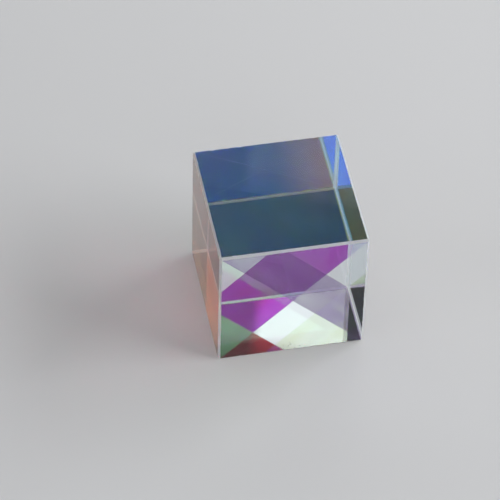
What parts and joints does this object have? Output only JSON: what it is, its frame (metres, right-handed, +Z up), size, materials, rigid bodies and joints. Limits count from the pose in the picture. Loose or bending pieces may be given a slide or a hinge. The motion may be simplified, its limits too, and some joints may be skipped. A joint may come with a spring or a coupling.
{
  "type": "cross dichroic prism cube",
  "caption": "Glass cube of four cemented right-angle prisms with crossed blue and red reflecting coatings and ground edge bevels, for splitting or combining coloured light.",
  "frame": {"origin": "centre of the underside, on the polished window that the cube rests on", "axes": "+Z up, +Y from the front end face to the rear end face along the line where the coatings cross, +X towards the right window"},
  "size_m": [0.02, 0.02, 0.02],
  "materials": {
    "optical_glass": "polished windows and ends, ground bevels",
    "blue_reflecting_coating": "dielectric mirror, reflects blue and passes yellow at 45 degrees",
    "red_reflecting_coating": "dielectric mirror, reflects red and passes cyan at 45 degrees",
    "optical_cement": "clear, matched to the glass"
  },
  "bodies": {
    "root": {"top_prism": "optical_glass", "right_prism": "optical_glass", "bottom_prism": "optical_glass", "left_prism": "optical_glass", "blue_coating_on_top_prism": "blue_reflecting_coating", "blue_coating_on_bottom_prism": "blue_reflecting_coating", "red_coating_on_top_prism": "red_reflecting_coating", "red_coating_on_bottom_prism": "red_reflecting_coating", "upper_joint_cement": "optical_cement", "lower_joint_cement": "optical_cement", "main_joint_cement": "optical_cement"}
  },
  "joints": []
}
